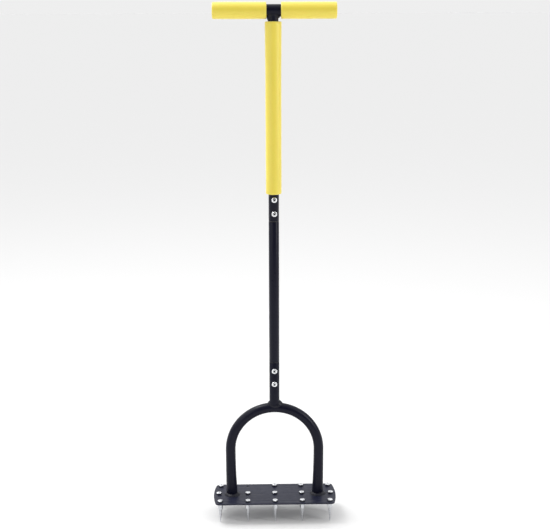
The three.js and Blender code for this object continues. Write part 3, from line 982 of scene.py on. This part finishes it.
def pole_fasteners():
    screw = joined(pan_head(), thread(-SCREW_LENGTH, SHANK_SINK))
    nut = hex_body(0, POLE_NUT_HEIGHT, THREAD_RADIUS)
    # Points down in the cross recess are marked for painted shade.
    painted_shade = [1.0 if in_recess(p) else 0.0 for p in screw[0]]
    for joint, turn, spins in POLE_JOINTS:
        for place, spin in zip(("lower", "upper"), spins):
            node = f"{joint}_screw_{place}"
            height = middle(node).z
            mesh = mesh_of(node, moved(screw, on_pole(height, turn, 1, spin)))
            mark(mesh, "painted_shade", painted_shade)
            piece(node, mesh, ZINC)
            node = f"{joint}_nut_{place}"
            mesh = mesh_of(node, moved(nut, on_pole(height, turn, -1, spin)))
            piece(node, mesh, ZINC)


def upright_at(node, spin):
    centre = middle(node)
    return Matrix.Translation((centre.x, centre.y, 0)) @ Matrix.Rotation(spin, 4, "Z")


def spikes():
    """Turned spikes, each with a collar under the plate and a stud that holds a nut on top."""
    collar_top, collar_foot = PLATE_UNDER - SEAT_GAP, PLATE_UNDER - COLLAR_HEIGHT
    collar = hex_body(collar_foot, collar_top, THREAD_RADIUS - THREAD_DEPTH)
    for index, node in enumerate(SPIKES):
        tip = low(node).z
        cone = [(radius * MM, tip + up * MM) for radius, up in SPIKE_TIP]
        cone += [(radius * MM, collar_foot + up * MM) for radius, up in SPIKE_BASE]
        stud = thread(collar_top - STUD_SINK, high(node).z)
        body = joined(turned(cone, SPIKE_SIDES), collar, stud)
        place = upright_at(node, index * SPIKE_SPIN + SPIKE_SPIN_START)
        piece(node, mesh_of(node, moved(body, place)), SPIKE_STEEL)

        nut_node = node.replace("spike_", "spike_nut_")
        foot, top = PLATE_TOP + SEAT_GAP, high(nut_node).z
        place = upright_at(node, -index * SPIKE_SPIN)
        mesh = mesh_of(nut_node, moved(hex_body(foot, top, THREAD_RADIUS), place))
        # Painted shade: each nut is marked darker towards its foot on the plate, a painted contact
        # shadow and shaded side.
        mark(mesh, "painted_shade", [(top - vertex.co.z) / (top - foot) for vertex in mesh.vertices])
        piece(nut_node, mesh, ZINC)


tubes()
yoke_tube()
welds()
grips()
end_plugs()
foot_plate()
pole_fasteners()
spikes()


# ---- Stage ----

FLOOR_HALF = 500
FLOOR_GREY = 0.75
AIM = (0, 0, 0.8)


def floor():
    mesh = bpy.data.meshes.new("floor")
    corners = [(FLOOR_HALF * x, FLOOR_HALF * y, 0) for x, y in ((-1, -1), (1, -1), (1, 1), (-1, 1))]
    mesh.from_pydata(corners, [], [(0, 1, 2, 3)])
    obj = new_object("floor", mesh)
    n = Material("floor")
    n.set(Base_Color=(FLOOR_GREY, FLOOR_GREY, FLOOR_GREY), Roughness=1.0, Specular_IOR_Level=0.0)
    mesh.materials.append(n.material)


def soft_box(name, place, target, width, height, power):
    light = bpy.data.lights.new(name, "AREA")
    light.shape = "RECTANGLE"
    light.size = width
    light.size_y = height
    light.energy = power
    obj = new_object(name, light)
    obj.location = place
    obj.rotation_euler = (Vector(target) - Vector(place)).to_track_quat("-Z", "Y").to_euler()
    obj.visible_camera = False


# The dome's glow, as stops along each direction: height 0 is the horizon and 1 is straight up,
# depth -1 is behind the camera and 1 is behind the object, side -1 is left and 1 is right
GLOW_BY_HEIGHT = ((0.0, 0.52), (0.2, 0.68), (0.42, 1.02), (0.65, 1.26), (1.0, 1.5))
GLOW_BY_DEPTH = ((-1.0, 0.14), (-0.5, 0.42), (0.0, 0.98), (0.5, 1.12), (1.0, 1.12))
GLOW_BY_SIDE = ((-1.0, 1.95), (-0.5, 1.35), (0.0, 0.93), (0.5, 0.97), (1.0, 0.97))
GLOW_RANGE = 2
BACKDROP_GLOW = 0.86


def world():
    """A soft dome, darkest on the camera's side, seen by the camera as a plain pale wall."""
    dome = bpy.data.worlds.new("studio")
    dome.use_nodes = True
    n = Nodes(dome.node_tree)
    direction = n.node("ShaderNodeTexCoord").outputs["Generated"]
    split = n.node("ShaderNodeSeparateXYZ", Vector=direction).outputs
    height = glow_along(n, split["Z"], GLOW_BY_HEIGHT)
    depth = glow_along(n, split["Y"], GLOW_BY_DEPTH)
    side = glow_along(n, split["X"], GLOW_BY_SIDE)
    glow = n.product(n.product(height, depth), side)
    is_camera = n.node("ShaderNodeLightPath").outputs["Is Camera Ray"]
    seen = n.node("ShaderNodeMix", Factor=is_camera, A=glow, B=BACKDROP_GLOW)
    shader = n.tree.nodes["Background"]
    n.put(shader.inputs["Color"], (1, 1, 1))
    n.put(shader.inputs["Strength"], seen.outputs["Result"])
    bpy.context.scene.world = dome


def glow_along(n, source, stops):
    """Glow as a smooth curve through the stops of one direction."""
    start, end = stops[0][0], stops[-1][0]
    fit = n.node("ShaderNodeMapRange", Value=source, From_Min=start)
    curve = n.node("ShaderNodeFloatCurve", Value=fit.outputs["Result"])
    points = curve.mapping.curves[0].points
    while len(points) < len(stops):
        points.new(0.5, 0.5)
    for point, (place, glow) in zip(points, stops):
        point.location = ((place - start) / (end - start), glow / GLOW_RANGE)
    curve.mapping.update()
    return n.product(curve.outputs["Value"], GLOW_RANGE)


# The camera is level with the crossbar, a little left of the middle, and looks down at the foot
# plate. LENS_PIXELS is its focal length in pixels of a picture of that width
LENS_PIXELS = 1070
PICTURE_WIDTH = 550
SENSOR_WIDTH = 36
CAMERA_PLACE = (2.2 * MM, -2.2306, CROSSBAR_AXIS - 1 * MM)
LOOK_DOWN = math.radians(13.336)
CAMERA_ROLL = math.radians(-0.19)
ROUND_POLE = math.radians(-1.2)


def camera():
    data = bpy.data.cameras.new("camera")
    data.sensor_width = SENSOR_WIDTH
    data.lens = SENSOR_WIDTH * LENS_PIXELS / PICTURE_WIDTH
    data.clip_end = 4 * FLOOR_HALF
    obj = new_object("camera", data)
    round_pole = Matrix.Rotation(ROUND_POLE, 3, "Z")
    tilt = Matrix.Rotation(math.pi / 2 - LOOK_DOWN, 3, "X")
    obj.location = round_pole @ Vector(CAMERA_PLACE)
    obj.rotation_euler = (round_pole @ tilt @ Matrix.Rotation(CAMERA_ROLL, 3, "Z")).to_euler()
    bpy.context.scene.camera = obj


floor()
world()
camera()
soft_box("strip_left", (-1.75, -1.65, 1.35), AIM, 0.6, 1.5, 9)
soft_box("strip_right", (2.15, -1.0, 1.35), AIM, 0.4, 1.5, 22)
soft_box("top_left", (-1.2, 0.35, 2.9), (0, 0, 0.5), 0.9, 0.9, 30)
bpy.context.scene.view_settings.view_transform = "Standard"
